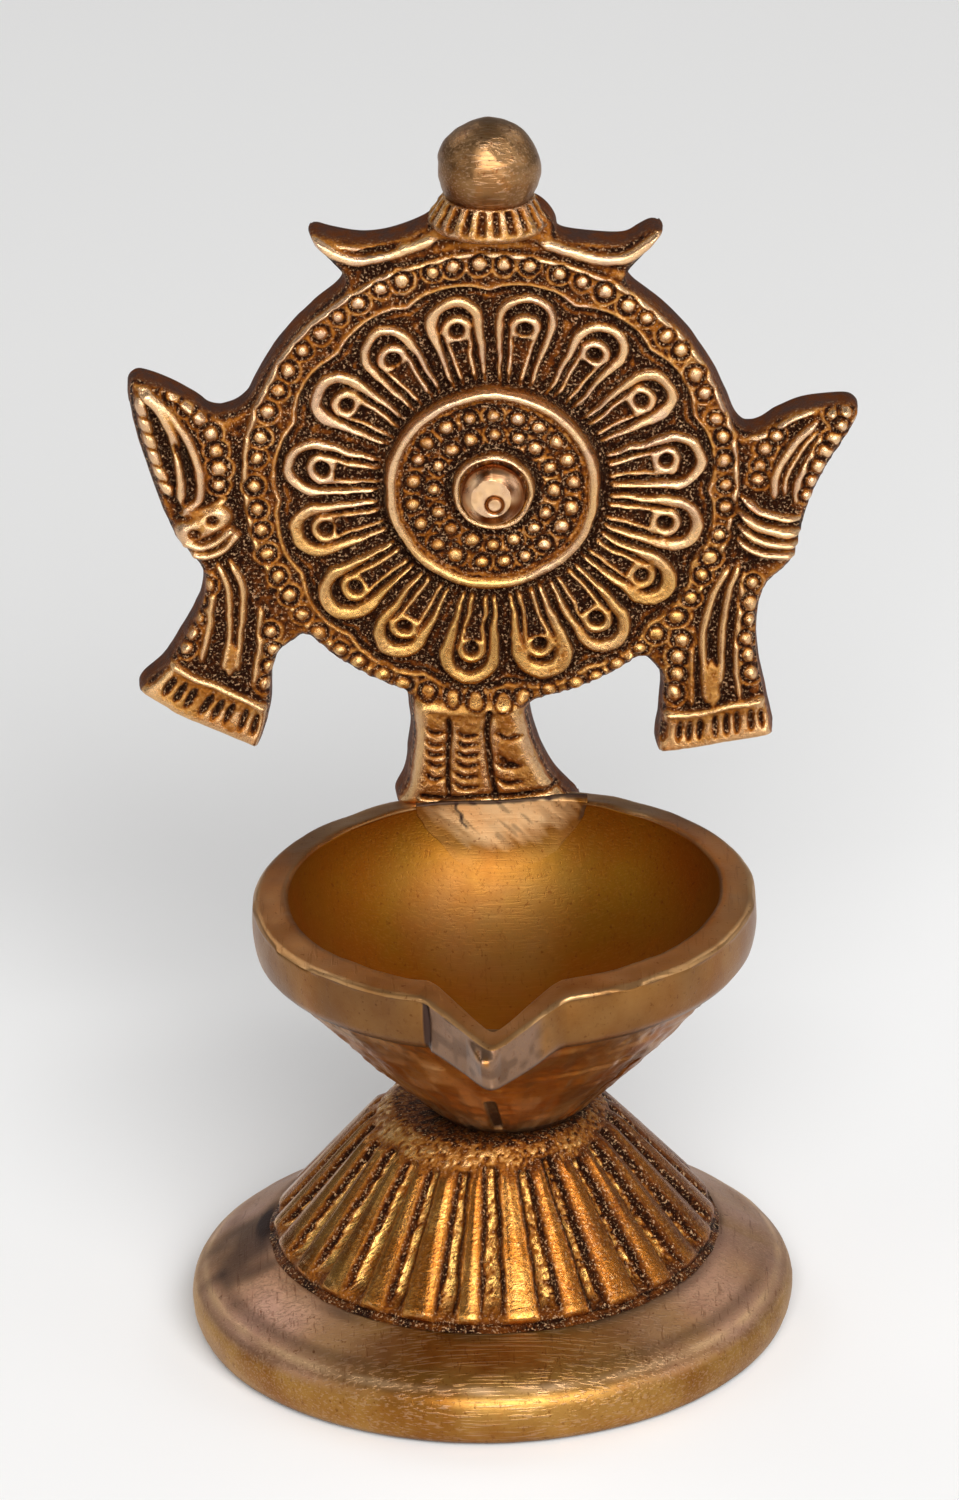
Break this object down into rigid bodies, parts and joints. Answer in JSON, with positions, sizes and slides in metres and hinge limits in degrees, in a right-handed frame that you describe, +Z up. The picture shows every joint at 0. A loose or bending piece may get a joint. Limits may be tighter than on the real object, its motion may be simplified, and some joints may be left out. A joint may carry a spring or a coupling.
{
  "type": "diya oil lamp",
  "caption": "Cast brass oil lamp: a spouted oil bowl on a fluted pedestal and round foot, with an upright wheel plaque and side sashes on the bowl's back rim.",
  "frame": {"origin": "centre of the foot disc on the surface that the lamp stands on", "axes": "+Z up, -Y towards the spout, +X to the right seen from the spout"},
  "size_m": [0.084, 0.0726, 0.1363],
  "materials": {
    "antique_brass": "cast relief with dark brown patina in the recesses and rubbed high spots",
    "turned_brass": "brushed and lacquered, warm brown where worn",
    "polished_brass": "filed and rubbed bright",
    "braze_metal": "coppery filler metal, filed smooth",
    "plain_brass": "plain machined"
  },
  "bodies": {
    "root": {"foot_disc": "turned_brass", "fluted_pedestal": "antique_brass", "pedestal_braze": "braze_metal", "oil_bowl": "turned_brass", "bowl_stud": "plain_brass", "stud_washer": "plain_brass", "stud_nut": "plain_brass", "chakra_plaque": "antique_brass", "neck_braze": "braze_metal", "hub_rivet": "polished_brass", "finial_ball": "antique_brass"}
  },
  "joints": []
}
